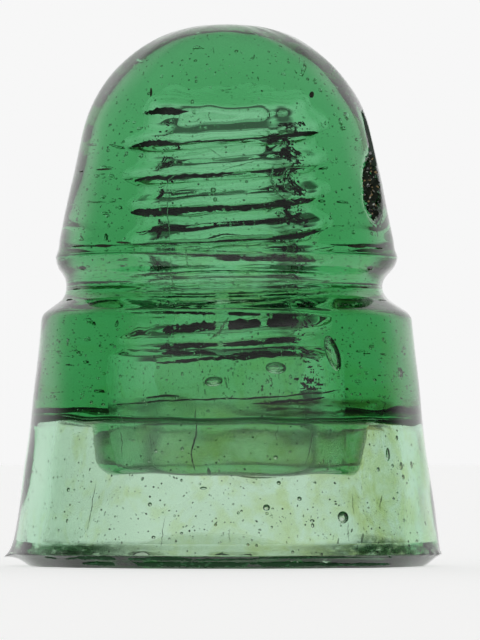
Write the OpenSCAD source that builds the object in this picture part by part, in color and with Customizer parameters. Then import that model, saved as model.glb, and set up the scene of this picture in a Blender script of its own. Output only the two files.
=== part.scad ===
// Pressed-glass pin insulator: a dome with a wire groove, an outer skirt, an inner petticoat and
// a threaded pin hole, all one piece of glass. It screws onto a 1 inch insulator pin.
// Millimetres, +Z up, standing on its rim at z = 0 with its axis on Z.

/* [Dome] */
// Height from the resting rim to the crown
body_h = 105; // [103:0.5:108]
// Radius of the round of the dome
crown_r = 26.8; // [22:0.1:27.5]
// Lean of the dome's side from upright, in degrees
side_taper = 12.2; // [11:0.1:13]

/* [Wire groove] */
// Radius where the dome's side would meet the groove's upper flank
ridge_r = 33.4; // [32.5:0.1:34]
// Height of that meeting line
ridge_z = 59.1; // [58.5:0.1:60]
// Radius where the groove's two flanks would meet
groove_r = 29.3; // [28.5:0.1:30]
// Height of the bottom of the groove
groove_z = 53.3; // [52.8:0.1:53.8]
// Round of the groove's bottom, which takes the line wire
groove_round = 3.6; // [3:0.1:3.8]

/* [Skirt] */
// Radius of the shoulder under the groove
shoulder_r = 35.9; // [35.3:0.1:36.2]
// Height of the shoulder
shoulder_z = 48.7; // [48.2:0.1:49.2]
// Outer radius of the skirt where its slope changes
waist_r = 38; // [37.6:0.1:38.3]
// Height of that change of slope
waist_z = 28.4; // [27:0.1:30]
// Outer radius of the skirt at its sharp bottom edge
skirt_r = 41.5; // [41:0.1:42]
// Height of that edge over the resting rim
skirt_edge_z = 2.4; // [2:0.1:3]
// Inner radius of the skirt near its mouth
skirt_bore_r = 35.5; // [35:0.1:36]
// Width of the flat ring that the insulator stands on
rim_w = 1.3; // [1:0.1:1.6]

/* [Petticoat and air gap] */
// Height of the top of the air gap between the skirt and the petticoat
gap_z = 28.4; // [28:0.1:31.5]
// Radius of the air gap's outer wall at its top
gap_outer_r = 32.6; // [32.2:0.1:33]
// Radius of the petticoat at the top of the air gap
petticoat_r = 26.6; // [26.2:0.1:27]
// Height of the petticoat's lower end over the resting rim
petticoat_z = 17.3; // [15:0.1:19]

/* [Pin hole] */
// Radius of the smooth entry of the pin hole
entry_r = 15; // [14.6:0.1:15.6]
// Height where the thread starts
thread_z = 41; // [40:0.1:42]
// Crest radius of the thread along the parallel land at its mouth
land_r = 11.8; // [11.6:0.1:12]
// Length of that parallel land
land_h = 12; // [10:0.5:14]
// Height of the flat end of the pin hole
hole_top_z = 86.4; // [84:0.1:88]

/* [Thread] */
// Rise of the thread in one turn: 4 turns to the inch
pitch = 6.35; // [6.2:0.05:6.5]
// Depth of the thread from crest to root
thread_depth = 1.5; // [1.2:0.1:1.7]
// Width of the thread's rounded root groove
thread_w = 2.9; // [2.6:0.1:3.1]
// Loss of radius per mm of height above the land: 1/16 inch of diameter per inch
taper = 0.03125; // [0.03:0.00125:0.035]

/* [Hidden] */
fine = 96;
arc_step = 4;            // degrees between the points of a round
ridge_round = 2.8;
shoulder_round = 2.5;
waist_round = 80;
edge_round = 0.4;
rim_bevel = 3.2;         // width of the bevel from the skirt's edge to the rim
mouth_h = 4.2;           // height of the bevel from the rim to the skirt's inside
mouth_round = 1.6;
gap_round = 1.8;
petticoat_lean = 0.8;    // how much the petticoat narrows to its lower end
petticoat_round = 3.2;
thread_lead = 1.4;       // height of the cone that leads into the thread
thread_end_gap = 2.2;    // clear height between the thread's last turn and the hole's end
thread_reach = 0.5;      // how far the thread cutter starts inside the crest surface
turn_steps = 24;         // rings of the thread cutter in one turn
valley_steps = 6;        // facets across the thread's rounded root
glass_green = [0.25, 0.62, 0.38, 0.6];

// The corner c of an outline, rounded to radius r between its neighbours p and n
function unit(v) = v / norm(v);
function rounded(p, c, n, r) =
    r == 0 ? [c] :
    let (
        a = unit(p - c),
        b = unit(n - c),
        half = acos(a * b) / 2,
        centre = c + unit(a + b) * r / sin(half),
        from = c + a * r / tan(half) - centre,
        to = c + b * r / tan(half) - centre,
        sweep = 180 - 2 * half,
        steps = max(2, ceil(sweep / arc_step))
    )
    [for (i = [0:steps])
        centre + (sin(sweep * (1 - i / steps)) * from + sin(sweep * i / steps) * to) / sin(sweep)];

// An outline from corners that are each [radius, height, round]
function place(corner) = [corner[0], corner[1]];
function outline(corners) =
    let (last = len(corners) - 1)
    [for (i = [0:last])
        each rounded(
            place(corners[max(i - 1, 0)]),
            place(corners[i]),
            place(corners[min(i + 1, last)]),
            corners[i][2])];

// Radius of the dome's straight side at a height
function side_r(z) = ridge_r - (z - ridge_z) * tan(side_taper);

// Crest radius of the thread at a height: parallel along the land, then tapering to the hole's end
land_top = thread_z + land_h;
function crest_r(z) = land_r - taper * max(0, z - land_top);

outside = [
    [0, body_h, 0],
    [side_r(body_h), body_h, crown_r],
    [ridge_r, ridge_z, ridge_round],
    [groove_r, groove_z, groove_round],
    [shoulder_r, shoulder_z, shoulder_round],
    [waist_r, waist_z, waist_round],
    [skirt_r, skirt_edge_z, edge_round]];

rim_r = skirt_r - rim_bevel;
underside = [
    [rim_r, 0, edge_round],
    [rim_r - rim_w, 0, edge_round],
    [skirt_bore_r, mouth_h, mouth_round],
    [gap_outer_r, gap_z, gap_round],
    [petticoat_r, gap_z, gap_round],
    [petticoat_r - petticoat_lean, petticoat_z, petticoat_round]];

pin_hole = [
    [entry_r, petticoat_z, mouth_round],
    [entry_r, thread_z - thread_lead, 0],
    [land_r, thread_z, 0],
    [land_r, land_top, 0],
    [crest_r(hole_top_z), hole_top_z, 0],
    [0, hole_top_z, 0]];

// The glass without its thread, as one outline turned about the axis
module turned_glass() {
    rotate_extrude($fn = fine)
        polygon(outline(concat(outside, underside, pin_hole)));
}

// Section of the thread cutter, as [depth past the crest, height]: a rounded valley
valley = [
    [-thread_reach, -thread_w / 2],
    for (i = [0:valley_steps])
        let (across = i / valley_steps)
        [thread_depth * sin(180 * across), thread_w * (across - 0.5)],
    [-thread_reach, thread_w / 2]];

// The thread cutter's section placed on the helix, at an angle counted from the first turn
function cutter_ring(turn) =
    let (z = thread_z - pitch + pitch * turn / 360, crest = crest_r(z))
    [for (p = valley)
        [(crest + p[0]) * cos(turn), (crest + p[0]) * sin(turn), z + p[1]]];

// The right-hand thread, as the solid that the mould's screwed plunger fills
module thread_cutter() {
    turns = (hole_top_z - thread_end_gap - thread_z + pitch) / pitch;
    rings = round(turns * turn_steps);
    sides = len(valley);
    points = [for (i = [0:rings]) each cutter_ring(i * 360 / turn_steps)];
    skin = [
        for (i = [0:rings - 1], j = [0:sides - 1])
            let (
                a = i * sides + j,
                b = i * sides + (j + 1) % sides
            )
            each [[a, b, b + sides], [a, b + sides, a + sides]]];
    first_end = [for (j = [sides - 1:-1:0]) j];
    last_end = [for (j = [0:sides - 1]) rings * sides + j];
    polyhedron(points, concat(skin, [first_end, last_end]));
}

// One piece of pressed glass
module glass_insulator() {
    color(glass_green)
        difference() {
            turned_glass();
            thread_cutter();
        }
}

glass_insulator();
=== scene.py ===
# Pin insulator in pressed green glass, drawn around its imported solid. Metres, +Z up, front towards -Y.
import bpy
import numpy as np
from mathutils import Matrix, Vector


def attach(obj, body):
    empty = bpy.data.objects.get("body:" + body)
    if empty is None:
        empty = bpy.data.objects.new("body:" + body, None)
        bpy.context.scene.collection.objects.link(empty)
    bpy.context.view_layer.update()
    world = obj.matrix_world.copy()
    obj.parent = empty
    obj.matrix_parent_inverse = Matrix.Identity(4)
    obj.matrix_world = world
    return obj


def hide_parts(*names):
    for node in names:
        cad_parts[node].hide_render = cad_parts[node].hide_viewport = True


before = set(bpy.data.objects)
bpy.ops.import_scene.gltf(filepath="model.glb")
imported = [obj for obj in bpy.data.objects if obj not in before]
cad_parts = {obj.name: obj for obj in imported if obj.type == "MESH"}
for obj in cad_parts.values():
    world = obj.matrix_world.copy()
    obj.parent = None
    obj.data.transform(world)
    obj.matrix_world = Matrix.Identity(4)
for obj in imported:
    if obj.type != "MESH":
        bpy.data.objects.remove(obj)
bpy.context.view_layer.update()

mm = 0.001
deg = np.pi / 180
print("frame loaded:", sorted(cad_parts))

# ---- small tools


def linearColour(hexColour, alpha=1.0):
    # sRGB hex to the linear colour that the shaders take
    parts = np.array([int(hexColour[i:i + 2], 16) for i in (1, 3, 5)]) / 255
    linear = np.where(parts <= 0.04045, parts / 12.92, ((parts + 0.055) / 1.055) ** 2.4)
    return (*linear.tolist(), alpha)


def addNode(tree, kind, inputs=None, **settings):
    # adds a node with its settings; each input gets a value, or a link if it is given a socket
    node = tree.nodes.new(kind)
    for name, value in settings.items():
        setattr(node, name, value)
    for name, value in (inputs or {}).items():
        if isinstance(value, bpy.types.NodeSocket):
            tree.links.new(value, node.inputs[name])
        else:
            node.inputs[name].default_value = value
    return node


def smoothStep(value, start, end):
    # 0 before start, 1 after end, and 3t^2 - 2t^3 between them
    t = np.clip((value - start) / (end - start), 0, 1)
    return t * t * (3 - 2 * t)


def bell(value, width):
    # 1 at zero, falling off as exp(-(value / width)^2)
    return np.exp(-((value / width) ** 2))


def turnGap(angle, centre):
    # the angle from centre, wrapped to a half turn each way
    return (angle - centre + np.pi) % (2 * np.pi) - np.pi


def ripples(along, turn, radius, seed, rise, longest, shortest, waves=26):
    # a sum of cosines on the unrolled surface: each has a random heading, a length between the two
    # limits and a whole number of waves round the axis, so the surface closes on itself
    random = np.random.default_rng(seed)
    height = np.zeros(np.broadcast(along, turn).shape)
    for wave in range(waves):
        length = longest * (shortest / longest) ** random.random()
        heading = random.random() * 2 * np.pi
        wholeWaves = np.round(np.cos(heading) * 2 * np.pi * radius / length)
        height += np.cos(wholeWaves * turn + np.sin(heading) * 2 * np.pi / length * along
                         + random.random() * 2 * np.pi)
    return height * rise / np.sqrt(waves / 2)


def newPiece(name, points, faces, material, slot=None):
    # points in millimetres; the object stays at the origin with its place in its mesh
    mesh = bpy.data.meshes.new(name)
    mesh.from_pydata((points * mm).tolist(), [], faces)
    mesh.polygons.foreach_set("use_smooth", [True] * len(mesh.polygons))
    mesh.materials.append(material)
    mesh.update()
    piece = bpy.data.objects.new(name, mesh)
    bpy.context.scene.collection.objects.link(piece)
    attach(piece, "root")
    return piece


def joinParts(parts):
    # one list of points and one of faces from several, with the later faces' numbers moved on
    starts = np.cumsum([0] + [len(points) for points, _ in parts[:-1]])
    faces = np.concatenate([own + start for (_, own), start in zip(parts, starts)])
    return np.concatenate([points for points, _ in parts]), faces.tolist()


def ringPoints(radius, turn, height):
    # points in space from a distance to the axis, an angle round it and a height
    return np.stack([radius * np.cos(turn), radius * np.sin(turn), height + 0 * turn], 2).reshape(-1, 3)


def addCrust(piece, thickness, side):
    # gives a sheet its thickness, on the side that its faces point to (1) or the other (-1)
    crust = piece.modifiers.new("crust", "SOLIDIFY")
    crust.thickness, crust.offset = thickness * mm, side


# ---- camera: level, far back, a little to the right of the axis

view = {"distance": 1.35, "height": 0.020, "aimX": 0.0026, "aimZ": 0.0477, "frameHeight": 0.1242}

cameraData = bpy.data.cameras.new("camera")
camera = bpy.data.objects.new("camera", cameraData)
bpy.context.scene.collection.objects.link(camera)
bpy.context.scene.camera = camera
camera.location = (view["aimX"], -view["distance"], view["height"])
lookAlong = Vector((view["aimX"], 0, view["aimZ"])) - camera.location
camera.rotation_euler = lookAlong.to_track_quat("-Z", "Y").to_euler()
cameraData.sensor_fit = "VERTICAL"
cameraData.lens = cameraData.sensor_height * view["distance"] / view["frameHeight"]
cameraData.clip_end = 200
print("camera placed")

# ---- glass shape, in millimetres

glass = {
    # each corner: radius, height, round, spacing of the rows of points after it
    "outside": [
        (0, 105, 0, 0.9), (23.42, 105, 26.8, 0.8), (33.4, 59.1, 2.8, 0.5), (29.3, 53.3, 3.6, 0.6),
        (35.9, 48.7, 2.5, 1.5), (38.0, 28.4, 80, 1.5), (40.75, 8, 0, 0.6), (41.5, 2.4, 0.35, 0.5)],
    "underside": [
        (38.3, 0, 0.4, 0.5), (37.0, 0, 0.4, 0.8), (35.5, 4.2, 1.6, 1.6), (32.6, 28.4, 1.8, 0.6),
        (26.6, 28.4, 1.8, 0.8), (25.8, 17.3, 3.2, 1.0)],
    "pinHole": [
        (15.0, 17.3, 1.6, 1.0), (15.0, 39.6, 0.6, 0.5),
        (11.8, 41.0, 0.8, 0.45), (11.8, 53, 0, 0.45), (10.8, 86.4, 1.2, 0.9), (0, 86.4, 0, 1.0)],
    "columns": 170,
    "pitch": 6.35, "threadStart": 40.4, "threadPhase": -1.75, "threadEnd": 85.6, "threadDepth": 1.75,
    "seamTurn": -111, "seamRise": 0.03, "seamWidth": 0.5, "seamLow": 51, "seamHigh": 76,
    "fin": 0.35, "finTurn": 180, "finFlare": 1.5, "finDroop": 0.45,
    # the lip over the groove stands out and the side above it is drawn in; the ring that formed the
    # groove sat a little to one side; the gap's roof leans down to the right
    "lip": [(-0.14, 61.5, 1.1), (0.11, 59.9, 0.6), (0.14, 57.6, 0.8)],
    "grooveShift": -0.45, "roofLean": 0.35, "roofWave": 0.14, "petticoatShift": 0.55,
    # uneven walls: radius of the unrolled surface, seed, rise, longest and shortest wave
    "outsideWave": (36, 11, 0.05, 34, 9), "underWave": (24, 12, 0.045, 26, 8),
    "holeWave": (12, 13, 1, 18, 3.5), "entryRise": 0.05, "threadRise": 0.12,
    "finWave": (41, 15, 0.35, 60, 3), "threadWave": (12, 17, 0.12, 30, 6),
    # how far each region reaches from the axis, and how far below its roof the gap starts to lean
    "holeReach": 16.7, "petticoatReach": 28, "gapFrom": 22, "gapTo": 34, "domeReach": 33, "leanRun": 6.4,
}
edgeRadius, edgeHeight = glass["outside"][-1][:2]
rimRadius, rimHeight = glass["underside"][0][:2]
roofHeight = glass["underside"][3][1]
bruise = {
    # turn, lean in degrees a millimetre, height, half width, half height, depth, roughness
    "pits": [(-21.4, 0.74, 73.3, 4.6, 7.0, 1.4, 0.3)],
    "flakeLow": 77.2, "flakeHigh": 88.4, "flakeTurn": -13.2, "flakeWidth": 5.2, "flakeLift": 0.07,
    "thick": 0.04,
    # the packed crumbs' look, with white specks of painted glint
    "crumbAndGlintLook": {"dark": "#0b100b", "pale": "#263222", "crumb": "#a08a62", "grain": 0.24,
                  "crumbShare": 0.05, "glintShare": 0.03},
    # the flake's look: dark painted shade on its shelly face
    "flakeShadeLook": {"dark": "#18241b", "pale": "#3a4a3d", "crumb": "#56654f", "grain": 1.6,
                  "crumbShare": 0.05},
}


def cornerArc(before, corner, after, radius, spacing):
    # the arc that touches both sides of a corner: its centre is on the corner's bisector, and its
    # points turn evenly from one touching point to the other
    if radius == 0:
        return corner[None]
    back = (before - corner) / np.linalg.norm(before - corner)
    on = (after - corner) / np.linalg.norm(after - corner)
    half = np.arccos(back @ on) / 2
    centre = corner + (back + on) / np.linalg.norm(back + on) * radius / np.sin(half)
    first = corner + back * radius / np.tan(half) - centre
    last = corner + on * radius / np.tan(half) - centre
    sweep = np.pi - 2 * half
    steps = int(max(3, np.ceil(sweep * radius / spacing)))
    share = np.linspace(0, 1, steps + 1)[:, None]
    return centre + (np.sin(sweep * (1 - share)) * first + np.sin(sweep * share) * last) / np.sin(sweep)


def outlineRows(corners):
    # joins the corner arcs with straight stretches, cut to each corner's own spacing
    places = np.array([c[:2] for c in corners], float)
    rows = []
    for i, (_, _, radius, spacing) in enumerate(corners):
        before, after = places[max(i - 1, 0)], places[min(i + 1, len(corners) - 1)]
        arc = cornerArc(before, places[i], after, radius, min(spacing, corners[max(i - 1, 0)][3]))
        if rows:
            start, gap = rows[-1][-1], arc[0] - rows[-1][-1]
            cuts = int(np.ceil(np.linalg.norm(gap) / corners[i - 1][3]))
            if cuts > 1:
                rows.append(start + np.linspace(0, 1, cuts + 1)[1:-1, None] * gap)
        rows.append(arc)
    return np.concatenate(rows)


glassRows = outlineRows(glass["outside"] + glass["underside"] + glass["pinHole"])
lowestRow = int(np.argmin(glassRows[:, 1]))


def outsideRadius(height):
    # how far the plain outside is from the axis at a height
    outside = glassRows[:lowestRow][::-1]
    return np.interp(height, outside[:, 1], outside[:, 0])


def columnTurns():
    # angles round the axis: even, but closer together at the mould seams and at the bruise
    turn = np.linspace(-np.pi, np.pi, 20001)
    crowd = np.ones_like(turn)
    for seam in (glass["seamTurn"], glass["seamTurn"] + 180):
        crowd += 5 * bell(turnGap(turn, seam * deg), 1.6 * deg)
    crowd += 1.8 * bell(turnGap(turn, bruise["pits"][0][0] * deg), 12 * deg)
    share = np.cumsum(crowd)
    share = (share - share[0]) / (share[-1] - share[0])
    return np.interp(np.arange(glass["columns"]) / glass["columns"], share, turn)


def threadValley(height, turn):
    # a right-hand helix: the valley's middle climbs one pitch in a turn, and its depth follows a
    # raised cosine across the pitch, squared off a little so that crests and roots are alike
    phase = (height - glass["threadStart"] - glass["threadPhase"]) / glass["pitch"] - turn / (2 * np.pi)
    wave = np.cos(2 * np.pi * phase)
    within = smoothStep(height, glass["threadStart"] - 0.8, glass["threadStart"] + 1.2)
    within = within * (1 - smoothStep(height, glass["threadEnd"] - 2.2, glass["threadEnd"]))
    return glass["threadDepth"] * (0.5 + 0.5 * np.sin(np.pi / 2 * wave)) * within


def pitDepth(height, turn, radius):
    # struck pits: each is an ellipse that leans with height, deepest in its middle
    depth = np.zeros(np.broadcast(height, turn).shape)
    for centre, lean, middle, halfWidth, halfHeight, deep, roughness in bruise["pits"]:
        up = (height - middle) / halfHeight
        across = turnGap(turn, (centre + lean * (height - middle)) * deg) * radius / halfWidth
        bowl = np.clip(1 - across ** 2 - up ** 2, 0, 1) ** 0.6
        rough = 1 + ripples(height, turn, 30, 14, roughness, 4, 1.6)
        depth = np.maximum(depth, deep * bowl * rough)
    return depth


def grooveMove(height):
    # how far the groove's ring sat to one side, fading above and below it
    return glass["grooveShift"] * bell(height - 54, 3.2)


def roofShift(turn):
    # how far the gap's roof is from its drawn height
    return glass["roofWave"] * ripples(0, turn, 30, 16, 1, 60, 6, 16) - glass["roofLean"] * np.cos(turn)


def glassSurface():
    # a function of two parameters: the row along the outline and the angle round the axis. Each row
    # is a circle, moved along the outline's normal by the marks that pressing leaves
    rows = glassRows
    turn = columnTurns()
    radius, height = rows[1:-1, 0], rows[1:-1, 1]
    slope = np.gradient(rows, axis=0)[1:-1]
    normal = np.stack([-slope[:, 1], slope[:, 0]], 1) / np.linalg.norm(slope, axis=1)[:, None]
    along = np.cumsum(np.linalg.norm(np.diff(rows, axis=0), axis=1))[:-1]

    row = np.arange(len(radius))
    isOutside = (row < lowestRow - 1)[:, None]
    inHole = ((row > lowestRow) & (radius < glass["holeReach"]))[:, None]
    s, t = along[:, None], turn[None, :]
    r, z = radius[:, None], height[:, None]

    push = np.where(isOutside, ripples(s, t, *glass["outsideWave"]), ripples(s, t, *glass["underWave"]))
    push = push * smoothStep(r, 0, 14)
    holeRise = glass["entryRise"] + (glass["threadRise"] - glass["entryRise"]) * smoothStep(z, 40, 44)
    holeRise = holeRise * smoothStep(r, 5, 11)
    push = push + np.where(inHole, holeRise * ripples(s, t, *glass["holeWave"]), 0)
    for rise, level, width in glass["lip"]:
        push = push + np.where(isOutside, rise * bell(z - level, width), 0)

    # two mould seams down the outside
    for seam in (glass["seamTurn"], glass["seamTurn"] + 180):
        ridge = bell(turnGap(t, seam * deg) * r, glass["seamWidth"] / 2)
        ridge = ridge * smoothStep(z, glass["seamLow"] - 3, glass["seamLow"]) * np.clip(r / 10, 0, 1)
        ridge = ridge * (1 - smoothStep(z, glass["seamHigh"] - 3, glass["seamHigh"]))
        push = push + np.where(isOutside, glass["seamRise"] * ridge, 0)
    push = push - np.where(isOutside & (r < glass["domeReach"]), pitDepth(z, t, r), 0)

    # the thin fin that the mould ring leaves round the skirt's edge, drawn out at one side
    edge = bell(np.hypot(r - edgeRadius, z - edgeHeight), 0.45)
    fin = np.clip(glass["fin"] * (0.6 + ripples(s * 0, t, *glass["finWave"])), 0.05, 1)
    flare = glass["finFlare"] * bell(turnGap(t, glass["finTurn"] * deg), 7 * deg)
    fading = np.exp(-np.abs(z - edgeHeight) / np.where(z > edgeHeight, 1.5, 0.5))
    flare = flare * np.where(isOutside, fading, edge)
    spread = r + push * normal[:, :1] + edge * fin + flare
    lift = z + push * normal[:, 1:] - glass["finDroop"] * flare
    lift = np.where((z < 1) & (lift < 0), 0, lift)

    # the gap's leaning roof, the thread, and what sat to one side
    inGap = ~isOutside & (r > glass["gapFrom"]) & (r < glass["gapTo"])
    lift = lift + np.where(inGap, roofShift(t) * smoothStep(z, roofHeight - glass["leanRun"], roofHeight), 0)
    spread = spread + threadValley(z, t) * inHole * (1 + ripples(s, t, *glass["threadWave"]))
    shift = np.where(isOutside, grooveMove(z), 0)
    inPetticoat = ~isOutside & (r < glass["petticoatReach"])
    shift = shift + np.where(inPetticoat, glass["petticoatShift"] * (1 - smoothStep(z, 22, 36)), 0)

    points = ringPoints(spread, t, lift)
    points[:, 0] += (shift + 0 * t).reshape(-1)
    points = np.concatenate([points, [[0, 0, rows[0, 1]], [0, 0, rows[-1, 1]]]])
    count, columns = len(radius), len(turn)
    i, j = np.meshgrid(np.arange(count - 1), np.arange(columns), indexing="ij")
    k = (j + 1) % columns
    quads = np.stack([i * columns + j, (i + 1) * columns + j, (i + 1) * columns + k, i * columns + k], 2)
    j = np.arange(columns)
    k = (j + 1) % columns
    # fans of triangles close the crown and the hole's flat end
    top, end = count * columns, count * columns + 1
    last = (count - 1) * columns
    fans = np.concatenate([np.stack([j * 0 + top, j, k], 1), np.stack([j * 0 + end, last + k, last + j], 1)])
    return points, quads.reshape(-1, 4).tolist() + fans.tolist()


# ---- bubbles and cracks: voids in the glass, so their faces point into the air inside them

bubbles = {
    "seeds": 4300, "seedSmallest": 0.085, "seedLargest": 0.34, "tiny": 0.16, "seed": 21,
    "margin": 0.3, "wideMargin": 2.2,
    # across, height, depth behind the front surface, half sizes (across, deep, tall), tilt in degrees
    "large": [
        (9.4, 37.8, 4.0, 2.0, 0.9, 1.15, 3), (-2.4, 35.2, 4.2, 1.7, 0.9, 0.95, -4),
        (20.2, 40.6, 5.0, 1.5, 0.9, 3.6, -20), (33.4, 37.0, 2.6, 1.0, 0.7, 1.2, 0),
        (22.1, 9.5, 2.6, 1.2, 1.0, 1.2, 0), (7.6, 11.4, 2.4, 0.68, 0.6, 0.66, 0),
        (-2.5, 71.6, 3.0, 0.55, 0.5, 0.52, 0), (-4.3, 15.1, 2.6, 0.65, 0.4, 0.3, 0),
        (30.8, 21.4, 2.4, 0.55, 0.5, 1.3, 3), (33.4, 19.2, 2.6, 0.5, 0.45, 0.8, 0),
        (35.5, 19.4, 2.4, 0.45, 0.4, 0.75, 0), (33.8, 17.1, 2.2, 0.45, 0.4, 0.5, 0),
        (9.9, 16.1, 2.0, 0.4, 0.35, 0.4, 0), (-30.1, 14.7, 2.2, 0.4, 0.35, 0.45, 0),
        (-14.4, 12.0, 2.6, 0.4, 0.35, 0.4, 0), (28.9, 18.6, 2.2, 0.4, 0.3, 0.42, 0),
        (32.6, 24.6, 2.2, 0.4, 0.3, 0.5, 0), (9.3, 20.9, 3.0, 0.42, 0.3, 0.4, 0)],
}
cracks = {
    # depth behind the front surface, half thickness, radius of the wall (0 is the outside), path of
    # across and height; open cracks hold air
    "open": [
        (2.2, 0.30, 0, [(8.9, 76.6), (8.7, 73.9), (10.0, 71.3), (13.1, 69.3)]),
        (2.4, 0.22, 0, [(14.2, 76.2), (11.6, 76.0), (10.3, 74.0), (11.0, 71.9), (13.4, 70.8)]),
        (2.6, 0.12, 0, [(13.6, 75.2), (12.2, 74.8), (11.6, 73.4), (12.6, 72.2)]),
        (1.6, 0.13, 0, [(-11.4, 71.0), (-11.0, 73.6), (-9.4, 74.8), (-6.4, 75.1)]),
        (1.2, 0.16, 0, [(-11.3, 71.2), (-11.2, 67.0), (-10.9, 62.0), (-10.6, 60.0)]),
        (1.2, 0.16, 0, [(-10.6, 59.0), (-10.4, 56.0), (-9.9, 52.6)]),
        (1.6, 0.10, 0, [(-3.8, 79.9), (-0.6, 77.8), (1.2, 76.4)]),
        (1.6, 0.12, 0, [(-1.0, 75.4), (2.6, 76.6), (7.4, 77.4)]),
        (3.0, 0.42, 0, [(0.5, 47.4), (-1.2, 44.7), (-3.2, 43.2)]),
        (1.6, 0.35, 0, [(28.1, 77.6), (28.9, 74.0)])],
    # and these are full of dirt
    "filled": [
        (1.4, 0.07, 0, [(-24.7, 16.2), (-25.6, 11.0), (-26.5, 6.3)]),
        (1.3, 0.07, 0, [(-11.4, 10.0), (-12.1, 6.8), (-12.4, 3.8)]),
        (1.2, 0.06, 0, [(0.7, 7.6), (0.8, 5.0)]), (1.4, 0.06, 0, [(24.0, 14.1), (24.3, 10.0)]),
        (1.2, 0.06, 0, [(23.1, 8.7), (23.2, 5.0)]), (1.4, 0.08, 0, [(29.7, 13.8), (29.3, 10.6)]),
        (1.0, 0.20, 25.9, [(-5.2, 29.9), (-5.6, 25.0), (-6.5, 22.0), (-6.2, 20.0), (-5.8, 18.0)]),
        (1.0, 0.08, 25.9, [(-19.2, 26.8), (-19.6, 23.0), (-19.3, 20.8)]),
        (1.0, 0.08, 25.9, [(15.6, 26.0), (14.9, 22.5), (14.1, 19.0)]),
        (1.4, 0.08, 25.9, [(-13.8, 25.6), (-13.6, 22.2)]), (1.2, 0.07, 25.9, [(9.4, 27.4), (9.0, 24.0)]),
        (1.6, 0.07, 0, [(9.4, 76.9), (8.3, 75.4), (8.4, 73.4), (9.6, 71.2), (11.4, 70.0)]),
        (1.7, 0.06, 0, [(9.2, 75.2), (12.4, 75.3), (14.8, 74.6)]),
        (1.0, 0.14, 0, [(28.9, 66.4), (29.1, 63.2)]),
        (1.4, 0.10, 0, [(29.6, 28.6), (30.0, 31.2), (28.8, 32.2)]),
        (2.0, 0.13, 0, [(10.2, 70.6), (11.6, 69.4), (13.6, 69.0)])],
    "seed": 5, "samples": 34, "jitter": 0.05, "sides": 6, "deeper": 2.2,
    "look": {"dark": "#141c10", "pale": "#28331f", "crumb": "#3a4630", "grain": 0.4, "crumbShare": 0.1},
}


def ballTemplate(rings, sides):
    # points of a unit ball on rings of latitude between two poles, and its faces, pointing outwards
    rise = np.pi * (np.arange(1, rings + 1) / (rings + 1) - 0.5)
    turn = 2 * np.pi * np.arange(sides) / sides
    z, t = np.meshgrid(rise, turn, indexing="ij")
    points = np.stack([np.cos(z) * np.cos(t), np.cos(z) * np.sin(t), np.sin(z)], 2).reshape(-1, 3)
    points = np.concatenate([points, [[0, 0, -1], [0, 0, 1]]])
    j = np.arange(sides)
    k = (j + 1) % sides
    south, north, last = rings * sides, rings * sides + 1, (rings - 1) * sides
    faces = [np.stack([k, j, j * 0 + south], 1), np.stack([last + j, last + k, j * 0 + north], 1)]
    for ring in range(rings - 1):
        a, b = ring * sides + j, ring * sides + k
        faces += [np.stack([a, b, b + sides], 1), np.stack([a, b + sides, a + sides], 1)]
    return points, np.concatenate(faces)


def placeCopies(centres, halves, spins, template, inwards=True):
    # one stretched and turned copy of the template for each centre; a void's faces are turned inwards
    points, faces = template
    placed = np.einsum("nij,nkj->nki", spins, points[None] * halves[:, None, :]) + centres[:, None, :]
    faces = faces[:, ::-1] if inwards else faces
    numbers = faces[None] + (np.arange(len(centres)) * len(points))[:, None, None]
    return placed.reshape(-1, 3), numbers.reshape(-1, 3)


def insideOutline(radius, height, outline):
    # even-odd rule: counts the outline's edges that lie to the right of each point
    a, b = outline, np.roll(outline, -1, axis=0)
    spans = (a[None, :, 1] > height[:, None]) != (b[None, :, 1] > height[:, None])
    rise = np.where(b[:, 1] == a[:, 1], 1, b[:, 1] - a[:, 1])
    crossing = a[None, :, 0] + (height[:, None] - a[None, :, 1]) / rise * (b[:, 0] - a[:, 0])[None]
    return ((crossing > radius[:, None]) & spans).sum(1) % 2 == 1


def behindFront(across, height, depth, wall=0):
    # a mark is placed where its light comes out: from the point on the front surface, back along the
    # refracted ray by its depth; behind a parallel wall the ray goes straight on
    radius = across * 0 + wall if wall else outsideRadius(height)
    arrive = np.arcsin(np.clip(across / radius, -1, 1))
    bend = across * 0 if wall else arrive - np.arcsin(across / radius / pressedGlass["ior"])
    x = across - depth * np.sin(bend)
    y = -np.sqrt(np.maximum(radius ** 2 - across ** 2, 0)) + depth * np.cos(bend)
    return np.stack([x, y, height + 0 * x], -1)


def spinsRound(angle):
    # turns about the upright axis
    zero, one = angle * 0, angle * 0 + 1
    return np.stack([np.cos(angle), -np.sin(angle), zero, np.sin(angle), np.cos(angle), zero,
                     zero, zero, one], 1).reshape(-1, 3, 3)


def facingSpins(centres, tilt):
    # turns that make a copy face out from the axis, after a tilt in its own plane
    lean = tilt * deg
    face = np.arctan2(centres[:, 1], centres[:, 0]) + np.pi / 2
    zero, one = lean * 0, lean * 0 + 1
    tilted = np.stack([np.cos(lean), zero, np.sin(lean), zero, one, zero,
                       -np.sin(lean), zero, np.cos(lean)], 1).reshape(-1, 3, 3)
    return spinsRound(face) @ tilted


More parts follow.
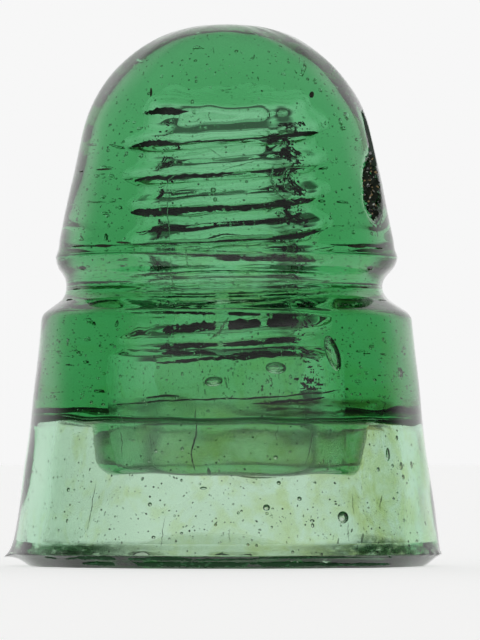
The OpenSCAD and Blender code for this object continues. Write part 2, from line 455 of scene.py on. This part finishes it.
def seedShells():
    # seeds drawn evenly through the glass, and kept only where they clear every wall
    random = np.random.default_rng(bubbles["seed"])
    wanted = bubbles["seeds"] * 5
    radius = 42 * np.sqrt(random.random(wanted))
    height = 105 * random.random(wanted)
    turn = 2 * np.pi * random.random(wanted)
    # most are tiny: sizes follow a power of the random number
    size = bubbles["seedSmallest"] * (bubbles["seedLargest"] / bubbles["seedSmallest"]) ** (
        random.random(wanted) ** 2.6)
    inside = insideOutline(radius, height, glassRows)
    gap = np.sqrt(((np.stack([radius, height], 1)[:, None] - glassRows[None]) ** 2).sum(2)).min(1)
    nearThread = (radius < 15) & (height > 38)
    nearRoof = (radius > 20) & (radius < 36) & (height > 20) & (height < 36)
    clear = size + bubbles["margin"] + bubbles["wideMargin"] * (nearThread * 1 + nearRoof)
    nearBruise = (np.abs(turnGap(turn, -20 * deg)) < 24 * deg) & (np.abs(height - 77) < 15) & (radius > 24)
    keep = inside & (gap > clear) & ~nearBruise
    pick = np.flatnonzero(keep)[:bubbles["seeds"]]
    centres = np.stack([radius * np.cos(turn), radius * np.sin(turn), height], 1)[pick]
    stretch = 1 + 0.7 * random.random((len(pick), 3)) ** 3
    halves = size[pick, None] * stretch
    spins = spinsRound(random.random(len(pick)) * 2 * np.pi)
    tiny = size[pick] < bubbles["tiny"]
    print("seeds:", len(pick), "of which tiny:", int(tiny.sum()))
    return [placeCopies(centres[tiny], halves[tiny] * 1.15, spins[tiny], ballTemplate(1, 4)),
            placeCopies(centres[~tiny], halves[~tiny], spins[~tiny], ballTemplate(2, 6))]


def largeShells():
    # the bubbles that stand out, each put at its own place
    across, height, depth, *halves, tilt = np.array(bubbles["large"], float).T
    centres = behindFront(across, height, depth)
    return placeCopies(centres, np.stack(halves, 1), facingSpins(centres, tilt), ballTemplate(8, 16))


def crackShell(depth, thickness, wall, path, random):
    # a thin void carried along a path: its section is a flat ellipse, deeper than it is wide, that
    # swells from nothing at one end and dies away at the other
    knots = np.array(path, float)
    reach = np.concatenate([[0], np.cumsum(np.linalg.norm(np.diff(knots, axis=0), axis=1))])
    count = cracks["samples"]
    share = np.linspace(0, 1, count + 2)
    way = np.stack([np.interp(share * reach[-1], reach, knots[:, i]) for i in (0, 1)], 1)
    stray = random.standard_normal(way.shape).cumsum(0) * np.sin(np.pi * share)[:, None]
    way = way + cracks["jitter"] * stray
    middle = behindFront(way[:, 0], way[:, 1], depth, wall)
    ahead = np.gradient(middle, axis=0)
    ahead /= np.linalg.norm(ahead, axis=1)[:, None]
    inwards = -middle * [1, 1, 0] / np.linalg.norm(middle[:, :2], axis=1)[:, None]
    aside = np.cross(inwards, ahead)
    aside /= np.linalg.norm(aside, axis=1)[:, None]
    deep = np.cross(ahead, aside)
    width = thickness * (0.35 + 0.65 * random.random(count + 2)) * np.sin(np.pi * share) ** 0.5
    around = 2 * np.pi * np.arange(cracks["sides"])[None, :, None] / cracks["sides"]
    ring = np.cos(around) * aside[1:-1, None] + cracks["deeper"] * np.sin(around) * deep[1:-1, None]
    ring = ring * width[1:-1, None, None] + middle[1:-1, None]
    return np.concatenate([ring.reshape(-1, 3), middle[[0, -1]]]), ballTemplate(count, cracks["sides"])[1]


def crackShells(lines, seed):
    random = np.random.default_rng(seed)
    return [crackShell(depth, half, wall, path, random) for depth, half, wall, path in lines]


# ---- materials

pressedGlass = {
    "ior": 1.52, "roughness": 0.0, "bloomRoughness": 0.24,
    # what a metre of this glass takes out of red, green and blue, as a density and the share kept
    "density": 50.0, "kept": (0.0, 0.635, 0.235),
    # the skin's grain and rise, and the groove's wrinkles against it, in millimetres
    "skinGrain": 1.6, "skinRise": 0.004, "wrinkleTall": 0.55, "wrinkleLong": 9, "wrinkleGain": 5.5,
    "speckCell": 1.7, "speckRadius": 0.105, "speck": "#11170f",
}
noTop = 999
grimeAndShade = {
    # noises drawn out level round the piece: how tall and how wide, in millimetres; and even patches
    "noises": {"streaks": (0.5, 7), "fallen": (2.2, 7), "mottle": (0.9, 3), "smeared": (0.7, 6),
               "fuzz": (1.1, 3), "dashes": (0.28, 2.2)},
    "patchSize": 6, "patchLean": 0.002,
    # each layer: its colour, and where it lies as what is measured, from, to, and the fade beyond both
    "layers": [
        # haze over the skirt with yellowish patches in it, and faint ones above the skirt
        ("#f7f8f4", [("height", -5, 31, 2)]),
        ("#f0f0d0", [("height", -5, 31, 2), ("patches", 0.68, noTop, 0.16)]),
        ("#f7f9e2", [("height", 34, 58, 6), ("patches", 0.7, noTop, 0.2)]),
        # a streaky wash on the petticoat, a film in the mouth and on the entry's top
        ("#fffaf2", [("radius", 14, 27.4, 0.4), ("height", 10, 32.4, 0.5), ("streaks", 0.62, noTop, 0.42)]),
        ("#dbe0d6", [("height", -5, 4.1, 0.5)]),
        ("#dde9d6", [("radius", 0, 16, 0.2), ("height", 32, 40, 1)]),
        # dirt that has stuck high in the gap at the back right, thick under its roof
        ("#867c50", [("radius", 25, 33.5, 0.6), ("back", 4, 40, 3), ("across", 4, 40, 5),
                     ("height", 26.6, 33.5, 1.2)]),
        ("#463a22", [("radius", 25, 33.5, 0.6), ("back", 4, 40, 3), ("across", 4, 40, 5),
                     ("height", 27.4, 33.5, 0.8), ("fallen", 0.6, noTop, 0.14)]),
        # a soft grey-green darkening on the hole's wall at the front right
        ("#5f6f5a", [("radius", 9, 14.2, 0.5), ("height", 36, 85, 3), ("back", -14, -2, 2),
                     ("across", 7.4, 11.6, 1.6), ("mottle", 0.7, noTop, 0.4)]),
        # a smear of dried mud outside, at the front right above the gap, and its heavy part
        ("#867c50", [("radius", 33, 42, 0.5), ("height", 29.3, 31.6, 1), ("back", -50, -6, 4),
                     ("across", 8, 36, 6), ("fallen", 0.6, noTop, 0.3)]),
        ("#463a22", [("radius", 33, 42, 0.5), ("height", 29.3, 31.6, 1), ("back", -50, -6, 4),
                     ("across", 8, 36, 6), ("across", 8, 22, 5), ("smeared", 0.6, noTop, 0.15)]),
        # grime along the skirt's edge, with painted shade that makes it darkest at both sides
        ("#3c5a40", [("height", 2.5, 3.9, 1.1), ("sideways", 27, noTop, 19), ("fuzz", 0.52, noTop, 0.28)]),
        # brown in the groove, and short dark dashes along it
        ("#e6d9c9", [("radius", 28, 35.5, 1), ("height", 49.6, 52.6, 1), ("streaks", 0.6, noTop, 0.25)]),
        ("#11170f", [("height", 50, 57.5, 1.5), ("dashes", 0.72, noTop, 0.1)])],
}


def windowOf(tree, value, low, high, soft):
    # 1 between low and high, fading to 0 over soft beyond each
    rise, fall = [addNode(tree, "ShaderNodeMapRange", {"Value": value, "From Min": start, "From Max": end},
                          interpolation_type="SMOOTHSTEP").outputs[0]
                  for start, end in ((low - soft, low), (high + soft, high))]
    return addNode(tree, "ShaderNodeMath", {0: rise, 1: fall}, operation="MULTIPLY").outputs[0]


def axisDistance(tree, place):
    # how far a place is from the upright axis
    level = addNode(tree, "ShaderNodeVectorMath", {0: place, 1: (1, 1, 0)}, operation="MULTIPLY")
    return addNode(tree, "ShaderNodeVectorMath", {0: level.outputs[0]}, operation="LENGTH").outputs["Value"]


def stretchedNoise(tree, place, tall, wide):
    # noise squeezed by its patches' height and width, in millimetres
    squeezed = addNode(tree, "ShaderNodeVectorMath", {0: place, 1: (1 / wide, 1 / wide, 1 / tall)},
                       operation="MULTIPLY").outputs[0]
    noise = addNode(tree, "ShaderNodeTexNoise", {"Vector": squeezed, "Scale": 1.0, "Detail": 2.0})
    return noise.outputs["Fac"]


def grimeAndShadeColour(tree, place):
    # years outdoors, and painted shade along the skirt's edge, as layers that each tint the light crossing
    # the surface there; and dark specks of dust everywhere, as small discs about the middles of random cells
    part = addNode(tree, "ShaderNodeSeparateXYZ", {"Vector": place}).outputs
    measures = {"height": part["Z"], "across": part["X"], "back": part["Y"]}
    measures["radius"] = axisDistance(tree, place)
    measures["sideways"] = addNode(tree, "ShaderNodeMath", {0: part["X"]}, operation="ABSOLUTE").outputs[0]
    for name, (tall, wide) in grimeAndShade["noises"].items():
        measures[name] = stretchedNoise(tree, place, tall, wide)
    patches = addNode(tree, "ShaderNodeTexNoise", {
        "Vector": place, "Scale": 1 / grimeAndShade["patchSize"], "Detail": 3.0}).outputs["Fac"]
    measures["patches"] = addNode(tree, "ShaderNodeMath", {
        0: part["X"], 1: grimeAndShade["patchLean"], 2: patches}, operation="MULTIPLY_ADD").outputs[0]
    cells = addNode(tree, "ShaderNodeTexVoronoi", {"Vector": place, "Scale": 1 / pressedGlass["speckCell"]})
    chance = addNode(tree, "ShaderNodeSeparateXYZ", {"Vector": cells.outputs["Color"]}).outputs["X"]
    size = addNode(tree, "ShaderNodeMath", {0: chance, 1: pressedGlass["speckRadius"], 2: 0.02},
                   operation="MULTIPLY_ADD").outputs[0]
    speck = addNode(tree, "ShaderNodeMath", {0: cells.outputs["Distance"], 1: size},
                    operation="LESS_THAN").outputs[0]

    shares = []
    for shade, limits in grimeAndShade["layers"]:
        share = 1.0
        for name, low, high, soft in limits:
            window = windowOf(tree, measures[name], low, high, soft)
            share = addNode(tree, "ShaderNodeMath", {0: share, 1: window}, operation="MULTIPLY").outputs[0]
        shares.append((share, shade))
    colour = linearColour("#ffffff")
    for share, shade in shares + [(speck, pressedGlass["speck"])]:
        colour = addNode(tree, "ShaderNodeMix", {0: share, 6: colour, 7: linearColour(shade)},
                         data_type="RGBA", blend_type="MULTIPLY").outputs[2]
    return colour


def makePressedGlass():
    # soda-lime glass coloured by iron and chromium, pressed in an iron mould and fire-polished: clear
    # through, deeper green where it is thick, with the faint ripple of the chilled skin and finer
    # level wrinkles where the groove's ring drew it
    material = bpy.data.materials.new("pressedGreenGlass")
    material.use_nodes = True
    tree = material.node_tree
    tree.nodes.clear()
    out = addNode(tree, "ShaderNodeOutputMaterial")
    place = addNode(tree, "ShaderNodeTexCoord").outputs["Object"]
    place = addNode(tree, "ShaderNodeVectorMath", {0: place, "Scale": 1 / mm}, operation="SCALE").outputs[0]
    height = addNode(tree, "ShaderNodeSeparateXYZ", {"Vector": place}).outputs["Z"]
    skin = addNode(tree, "ShaderNodeTexNoise", {
        "Vector": place, "Scale": 1 / pressedGlass["skinGrain"], "Detail": 2.0}).outputs["Fac"]
    wrinkles = stretchedNoise(tree, place, pressedGlass["wrinkleTall"], pressedGlass["wrinkleLong"])
    drawn = windowOf(tree, height, 51, 59, 2)
    drawn = addNode(tree, "ShaderNodeMath", {0: drawn, 1: pressedGlass["wrinkleGain"]}, operation="MULTIPLY")
    relief = addNode(tree, "ShaderNodeMath", {0: wrinkles, 1: drawn.outputs[0], 2: skin},
                     operation="MULTIPLY_ADD")
    bump = addNode(tree, "ShaderNodeBump", {
        "Height": relief.outputs[0], "Distance": pressedGlass["skinRise"] * mm * 10, "Strength": 0.1})
    # a dry bloom on the lower wall of the pin hole, up to where the pin's shoulder kept it clean
    nearEntry = windowOf(tree, axisDistance(tree, place), 13.4, 16.4, 0.3)
    low = windowOf(tree, height, 10, 31.2, 0.3)
    bloom = addNode(tree, "ShaderNodeMath", {0: nearEntry, 1: low}, operation="MULTIPLY").outputs[0]
    roughness = addNode(tree, "ShaderNodeMath", {
        0: bloom, 1: pressedGlass["bloomRoughness"], 2: pressedGlass["roughness"]}, operation="MULTIPLY_ADD")
    shader = addNode(tree, "ShaderNodeBsdfPrincipled", {
        "Base Color": grimeAndShadeColour(tree, place), "Roughness": roughness.outputs[0],
        "IOR": pressedGlass["ior"], "Transmission Weight": 1.0, "Normal": bump.outputs["Normal"]})
    body = addNode(tree, "ShaderNodeVolumeAbsorption", {
        "Color": (*pressedGlass["kept"], 1), "Density": pressedGlass["density"]})
    tree.links.new(shader.outputs["BSDF"], out.inputs["Surface"])
    tree.links.new(body.outputs["Volume"], out.inputs["Volume"])
    return material


def makeDirtAndPaintedLight(name, dark, pale, crumb, grain, crumbShare, glint="#d8dfd2", glintShare=0.0):
    # dried soot and road dust, settled and baked on, and dark sheets of painted shade: dead matt and
    # crumbly, so it stays dark from every side; mottled, with paler crumbs and some white specks of painted
    # glint
    material = bpy.data.materials.new(name)
    material.use_nodes = True
    tree = material.node_tree
    shader = tree.nodes["Principled BSDF"]
    place = addNode(tree, "ShaderNodeTexCoord").outputs["Object"]
    fine = addNode(tree, "ShaderNodeTexNoise", {
        "Vector": place, "Scale": 1 / (grain * mm), "Detail": 3.0}).outputs["Fac"]
    cells = addNode(tree, "ShaderNodeTexVoronoi", {"Vector": place, "Scale": 1 / (1.6 * grain * mm)})
    chance = addNode(tree, "ShaderNodeSeparateXYZ", {"Vector": cells.outputs["Color"]}).outputs["X"]
    crumbs = addNode(tree, "ShaderNodeMath", {0: chance, 1: crumbShare}, operation="LESS_THAN").outputs[0]
    glintSpecks = addNode(tree, "ShaderNodeMath", {0: chance, 1: 1 - glintShare},
                    operation="GREATER_THAN").outputs[0]
    mixed = linearColour(dark)
    for share, shade in ((fine, pale), (crumbs, crumb), (glintSpecks, glint)):
        mixed = addNode(tree, "ShaderNodeMix", {0: share, 6: mixed, 7: linearColour(shade)},
                        data_type="RGBA").outputs[2]
    bump = addNode(tree, "ShaderNodeBump", {"Height": fine, "Distance": 0.2 * mm, "Strength": 0.8})
    tree.links.new(mixed, shader.inputs["Base Color"])
    tree.links.new(bump.outputs["Normal"], shader.inputs["Normal"])
    shader.inputs["Roughness"].default_value = 1.0
    shader.inputs["IOR"].default_value = 1.4
    return material


def makeGlass():
    points, faces = glassSurface()
    shells = seedShells() + [largeShells()]
    shells += [(p, f[:, ::-1]) for p, f in crackShells(cracks["open"], cracks["seed"])]
    voidPoints, voidFaces = joinParts(shells)
    faces += (np.array(voidFaces) + len(points)).tolist()
    points = np.concatenate([points, voidPoints])
    piece = newPiece("pressedGlassBody", points, faces, makePressedGlass(), "green_glass")
    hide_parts("glass_insulator")
    print("glass made:", len(points), "points,", sum(len(f) - 2 for f in faces), "triangles")


makeGlass()

# ---- dirt and painted shade, in thin crusts

soot = {
    # on the thread: turn of the middle, height there, half span in degrees, half width; a wide
    # ribbon has blunter ends
    "threads": [
        (-147, 85.2, 26, 0.42), (-90, 80.6, 76, 0.16), (-147, 79.6, 26, 0.42), (-35, 81.6, 24, 0.34),
        (-125, 73.4, 42, 0.42), (-52, 74.7, 22, 0.30), (-96, 67.2, 78, 0.54), (-150, 66.2, 22, 0.34),
        (-90, 63.9, 74, 0.14), (-90, 61.2, 80, 0.24), (90, 59.3, 62, 0.50), (-117, 44.9, 21, 0.62),
        (-77, 45.6, 12, 0.62), (-50, 46.1, 12, 0.54), (-117, 41.3, 22, 0.42), (-64, 42.1, 29, 0.42),
        (-90, 39.2, 44, 0.42), (-90, 31.4, 86, 0.17), (-128, 31.6, 12, 0.24), (-50, 31.0, 26, 0.28)],
    "lift": 0.30, "step": 1.2, "ragged": 0.26,
    # on the hole's wall: turn, half span, lowest, highest, share that is covered
    "bands": [(-38, 13, 33, 84, 0.14), (-140, 9, 56, 84, 0.06)],
    "bandHelix": 72.4, "bandLift": 0.20, "grain": 0.9, "rows": 0.2,
    # heights where more or less has stuck: amount, height, width
    "clusters": [(0.6, 76, 7), (0.4, 63.5, 4), (0.1, 37, 5), (-0.6, 53, 5)],
    "thick": 0.05,
    "look": {"dark": "#0c120b", "pale": "#1a2616", "crumb": "#2a3622", "grain": 0.5, "crumbShare": 0.12},
}


def keptQuads(keep, columns):
    # the quads of a grid whose middles are kept, with the points that no quad uses left out
    i, j = np.nonzero(keep)
    first = i * columns + j
    quads = np.stack([first, first + 1, first + columns + 1, first + columns], 1)
    used, renumbered = np.unique(quads, return_inverse=True)
    return used, renumbered.reshape(-1, 4)


def crestRadius(height):
    # the pin hole's radius at a height without the thread's valley, off the outline's own rows
    hole = glassRows[lowestRow:]
    hole = hole[(hole[:, 0] < 15.5) & (hole[:, 0] > 10.5) & (hole[:, 1] > 20)]
    return np.interp(height, hole[:, 1], hole[:, 0])


def threadFloor(height, turn, lift):
    # the glass thread's own surface, and the lift of the dirt that lies on it
    return crestRadius(height) + threadValley(height, turn) * 1.05 + lift


def sootRibbon(middle, level, halfSpan, halfWidth):
    # a ribbon carried along the helix, a little ragged at both edges and tapered to its ends
    turn = np.arange(middle - halfSpan, middle + halfSpan, soot["step"]) * deg
    root = level + glass["pitch"] * turnGap(turn, middle * deg) / (2 * np.pi)
    share = np.linspace(-1, 1, len(turn))
    taper = np.sqrt(1 - np.abs(share) ** (2 + 10 * smoothStep(halfWidth, 0.4, 0.6)))
    above, below = [1 + soot["ragged"] * ripples(root, turn, 13, side + int(level * 10), 1, 8, 0.8, 30)
                    for side in (31, 32)]
    sag = 0.09 * ripples(root, turn, 13, 33 + int(level * 10), 1, 20, 4, 12)
    across = np.linspace(-1, 1, 5)[:, None]
    reach = np.where(across < 0, np.clip(below, 0.2, 2), np.clip(above, 0.2, 2)) * across
    height = root + sag + reach * halfWidth * taper
    points = ringPoints(threadFloor(height, turn, soot["lift"]), turn, height)
    return points, keptQuads(np.ones((4, len(turn) - 1), bool), len(turn))[1]


def sootBlotches(middle, halfSpan, low, high, share):
    # spots on the hole's wall, where a wave pattern that follows the thread is over its limit
    turn = np.arange(middle - halfSpan, middle + halfSpan, soot["grain"])[None] * deg
    height = np.arange(low, high, soot["rows"])[:, None]
    pattern = ripples(height, turn, 12, 61, 1, 4, 0.5, 110)
    pattern = pattern - 1.2 * (turnGap(turn, middle * deg) / (halfSpan * deg)) ** 2
    helix = (height - soot["bandHelix"]) / glass["pitch"] - turn / (2 * np.pi)
    pattern = pattern + 0.7 * np.cos(2 * np.pi * helix)
    for more, level, width in soot["clusters"]:
        pattern = pattern + more * bell(height - level, width)
    used, quads = keptQuads(pattern[:-1, :-1] > np.quantile(pattern, 1 - share), turn.shape[1])
    return ringPoints(threadFloor(height, turn, soot["bandLift"]), turn, height)[used], quads


def makeThreadSoot():
    parts = [sootRibbon(*values) for values in soot["threads"]]
    parts += [sootBlotches(*values) for values in soot["bands"]]
    points, faces = joinParts(parts)
    piece = newPiece("threadSoot", points, faces, makeDirtAndPaintedLight("driedSoot", **soot["look"]))
    addCrust(piece, soot["thick"], 1)
    print("soot made:", len(faces), "faces")


def makeCrackDirt():
    points, faces = joinParts(crackShells(cracks["filled"], cracks["seed"] + 1))
    newPiece("crackDirt", points, faces, makeDirtAndPaintedLight("crackDirt", **cracks["look"]))
    print("crack dirt made:", len(faces), "faces")


def makeBruiseDirtAndGlints():
    # crumbs packed into the rough pit, with white specks of painted glint: the pit's own surface, raised by
    # lumps that stay below the rim
    centre, lean, middle, halfWidth, halfHeight, _, _ = bruise["pits"][0]
    up, side = np.linspace(-0.97, 0.97, 90)[:, None], np.linspace(-0.97, 0.97, 60)[None]
    across = side * np.sqrt(1 - up ** 2)
    height = middle + up * halfHeight + 0 * across
    radius = outsideRadius(height)
    turn = (centre + lean * (height - middle)) * deg + across * halfWidth / radius
    lumps = 0.30 + 0.22 * ripples(height, turn, 30, 81, 1, 3, 0.7, 40)
    radius = radius - pitDepth(height, turn, radius) + np.clip(lumps, 0.05, 0.8)
    edge = np.hypot(up, side) + 0.16 * ripples(height, turn, 30, 83, 1, 5, 0.8, 40)
    used, quads = keptQuads(edge[:-1, :-1] < 0.86, 60)
    piece = newPiece("bruiseDirtAndGlints", ringPoints(radius, turn, height)[used], quads.tolist(),
                     makeDirtAndPaintedLight("packedCrumbsAndGlints", **bruise["crumbAndGlintLook"]))
    addCrust(piece, bruise["thick"], -1)
    print("bruise dirt made")


def makeFlakeShade():
    # painted shade on the shelly face over the pit: a dark sliver that follows the dome's side, widest below
    # its middle and drawn out to a point above
    share, side = np.linspace(0, 1, 70)[:, None], np.linspace(-1, 1, 26)[None]
    halfWidth = bruise["flakeWidth"] * np.sin(np.pi * share ** 0.7) ** 0.8
    turn = (bruise["flakeTurn"] + 2.4 * (2 * share - 1) ** 2 + halfWidth * side) * deg
    height = bruise["flakeLow"] + (bruise["flakeHigh"] - bruise["flakeLow"]) * share + 0 * turn
    radius = outsideRadius(height)
    radius = radius - pitDepth(height, turn, radius) + bruise["flakeLift"]
    used, quads = keptQuads(np.ones((69, 25), bool) & (share[:-1] > 0.01) & (share[:-1] < 0.975), 26)
    piece = newPiece("flakeShadeSheet", ringPoints(radius, turn, height)[used], quads.tolist(),
                     makeDirtAndPaintedLight("flakePaintedShade", **bruise["flakeShadeLook"]))
    addCrust(piece, bruise["thick"], -1)
    print("flake made")


rimPaintedShade = {
    # two dark green lines of painted shade under the skirt's edge
    # share of the way down the bevel, half width as a share, first and last turn
    "lines": [(0.17, 0.15, -148, -80), (0.10, 0.06, -92, -36), (0.64, 0.17, -134, -56),
              (0.70, 0.09, -66, -36)],
    "lift": 0.06, "thick": 0.03,
    "look": {"dark": "#0f2f17", "pale": "#1a4524", "crumb": "#2f5c3a", "grain": 0.4, "crumbShare": 0.1},
}


def makeRimPaintedShade():
    # painted shade in two dark green lines on the bevel under the skirt's edge. Each line is a band between
    # two shares of the way down the bevel, tapered to its ends and lifted along the bevel's normal
    parts = []
    for middle, halfWidth, first, last in rimPaintedShade["lines"]:
        turn = np.arange(first, last, 1.0)[None] * deg
        taper = np.sqrt(1 - np.abs(np.linspace(-1, 1, turn.shape[1])) ** 4)
        ragged = 1 + 0.2 * ripples(0 * turn, turn, 40, 400 + int(first), 1, 20, 1.2, 30)
        across = np.linspace(-1, 1, 4)[:, None]
        down = middle + halfWidth * taper * np.clip(ragged, 0.5, 1.4) * across
        radius = edgeRadius - (edgeRadius - rimRadius) * down + 0.6 * rimPaintedShade["lift"]
        height = edgeHeight - (edgeHeight - rimHeight) * down - 0.8 * rimPaintedShade["lift"]
        quads = keptQuads(np.ones((3, turn.shape[1] - 1), bool), turn.shape[1])[1]
        parts.append((ringPoints(radius, turn, height), quads))
    piece = newPiece("rimPaintedShade", *joinParts(parts), makeDirtAndPaintedLight("rimPaintedShade", **rimPaintedShade["look"]))
    addCrust(piece, rimPaintedShade["thick"], 1)
    print("rim grime made")


rubAndShadeMarks = {
    # across, height, half width, half height, tilt: tie-wire rub and stuck dirt on the outside, and painted
    # shade at both sides of the lip and of the groove
    "spots": [
        (-27.4, 57.4, 1.5, 0.42, 0), (27.6, 57.4, 1.2, 0.45, 0), (-28.5, 61.5, 2.6, 0.16, 0),
        (-23.6, 61.4, 2.4, 0.30, 2), (-19.6, 61.9, 1.8, 0.20, 4), (25.0, 61.3, 2.7, 0.26, 0),
        (29.4, 61.2, 1.6, 0.14, 0), (-23.5, 76.2, 2.6, 0.18, 0), (-28.0, 76.1, 1.2, 0.12, 0),
        (16.3, 90.4, 0.55, 0.7, 35), (-14.4, 90.8, 0.28, 0.9, 0), (-19.6, 57.5, 0.7, 0.16, 0),
        (-28.4, 53.4, 2.2, 0.14, 0), (27.0, 53.6, 1.8, 0.16, 0), (-30.0, 51.3, 2.0, 0.22, 0),
        (30.4, 51.2, 2.6, 0.16, 2)],
    "thick": 0.09,
    "look": {"dark": "#12160e", "pale": "#2a2f20", "crumb": "#3b3a2a", "grain": 0.3, "crumbShare": 0.2},
}


def makeRubAndShadeMarks():
    # flat smears on the outside, each a thin lens that faces out from the axis; the dark ones at both sides
    # of the lip and the groove are painted shade
    across, height, halfWidth, halfHeight, tilt = np.array(rubAndShadeMarks["spots"], float).T
    centres = behindFront(across, height, 0 * across)
    centres[:, 0] += grooveMove(height)
    halves = np.stack([halfWidth, halfWidth * 0 + rubAndShadeMarks["thick"], halfHeight], 1)
    points, faces = placeCopies(centres, halves, facingSpins(centres, tilt), ballTemplate(9, 20), False)
    # the smear bends with the wall: its ends go back by the circle's sagitta
    owner = np.repeat(np.arange(len(centres)), len(points) // len(centres))
    wall = np.hypot(centres[owner, 0], centres[owner, 1])
    away = np.hypot(points[:, 0], points[:, 1])
    bulge = (points[:, :2] * centres[owner, :2]).sum(1) / wall - wall
    points[:, :2] *= ((wall + bulge) / away)[:, None]
    newPiece("wireRubAndShadeMarks", points, faces.tolist(), makeDirtAndPaintedLight("wireRubAndShade", **rubAndShadeMarks["look"]))
    print("rub marks made")


makeThreadSoot()
makeCrackDirt()
makeBruiseDirtAndGlints()
makeFlakeShade()
makeRimPaintedShade()
makeRubAndShadeMarks()

# ---- pale floor and soft light

studio = {"white": 0.93, "side": 0.07, "sideStart": 48, "sideEnd": 84, "ceiling": 0.16, "ceilingStart": 32,
          "ceilingEnd": 52, "front": 0.35, "frontStart": 8, "frontEnd": 16, "floor": "#e6e6e4",
          "floorGlow": 0.62, "floorReach": 60}


def makeFloor():
    # matt pale board, seamless and far wider than the view
    corners = np.array([[-1, -1, 0], [1, -1, 0], [1, 1, 0], [-1, 1, 0]], float) * studio["floorReach"]
    mesh = bpy.data.meshes.new("floor")
    mesh.from_pydata(corners.tolist(), [], [[0, 1, 2, 3]])
    material = bpy.data.materials.new("paleFloor")
    material.use_nodes = True
    shader = material.node_tree.nodes["Principled BSDF"]
    shader.inputs["Base Color"].default_value = linearColour(studio["floor"])
    shader.inputs["Roughness"].default_value = 0.9
    shader.inputs["Emission Color"].default_value = (1, 1, 1, 1)
    shader.inputs["Emission Strength"].default_value = studio["floorGlow"]
    mesh.materials.append(material)
    floor = bpy.data.objects.new("floor", mesh)
    bpy.context.scene.collection.objects.link(floor)


def makeLight():
    # white behind and low in front, grey at both sides and overhead, so that round glass gets its
    # darker edges; the floor glows a little, as pale as what stands behind it
    world = bpy.data.worlds.new("studio")
    bpy.context.scene.world = world
    world.use_nodes = True
    tree = world.node_tree
    tree.nodes.clear()
    out = addNode(tree, "ShaderNodeOutputWorld")
    way = addNode(tree, "ShaderNodeTexCoord").outputs["Generated"]
    part = addNode(tree, "ShaderNodeSeparateXYZ", {"Vector": way}).outputs
    flat = addNode(tree, "ShaderNodeVectorMath", {0: way, 1: (1, 1, 0)}, operation="MULTIPLY")
    flat = addNode(tree, "ShaderNodeVectorMath", {0: flat.outputs[0]}, operation="NORMALIZE")
    sideways = addNode(tree, "ShaderNodeSeparateXYZ", {"Vector": flat.outputs[0]}).outputs["X"]
    sideways = addNode(tree, "ShaderNodeMath", {0: sideways}, operation="ABSOLUTE").outputs[0]
    toSide = addNode(tree, "ShaderNodeMapRange", {
        "Value": sideways, "From Min": np.sin(studio["sideStart"] * deg),
        "From Max": np.sin(studio["sideEnd"] * deg), "To Min": studio["white"],
        "To Max": studio["side"]}, interpolation_type="SMOOTHSTEP").outputs[0]
    toTop, overFront = [addNode(tree, "ShaderNodeMapRange", {
        "Value": part["Z"], "From Min": np.sin(studio[name + "Start"] * deg),
        "From Max": np.sin(studio[name + "End"] * deg)}, interpolation_type="SMOOTHSTEP").outputs[0]
        for name in ("ceiling", "front")]
    inFront = addNode(tree, "ShaderNodeMapRange", {
        "Value": part["Y"], "From Min": 0.1, "From Max": -0.1}, interpolation_type="SMOOTHSTEP").outputs[0]
    glow = addNode(tree, "ShaderNodeMix", {
        "Factor": toTop, "A": toSide, "B": studio["ceiling"]}, data_type="FLOAT").outputs[0]
    dimmed = addNode(tree, "ShaderNodeMath", {0: glow, 1: studio["front"]}, operation="MINIMUM").outputs[0]
    dim = addNode(tree, "ShaderNodeMath", {0: inFront, 1: overFront}, operation="MULTIPLY").outputs[0]
    glow = addNode(tree, "ShaderNodeMix", {"Factor": dim, "A": glow, "B": dimmed}, data_type="FLOAT")
    light = addNode(tree, "ShaderNodeBackground", {"Color": (1, 1, 1, 1), "Strength": glow.outputs[0]})
    tree.links.new(light.outputs[0], out.inputs["Surface"])
    scene = bpy.context.scene
    scene.view_settings.view_transform = "Standard"
    scene.cycles.max_bounces, scene.cycles.transmission_bounces, scene.cycles.glossy_bounces = 24, 20, 14


makeFloor()
makeLight()
print("floor and light made")
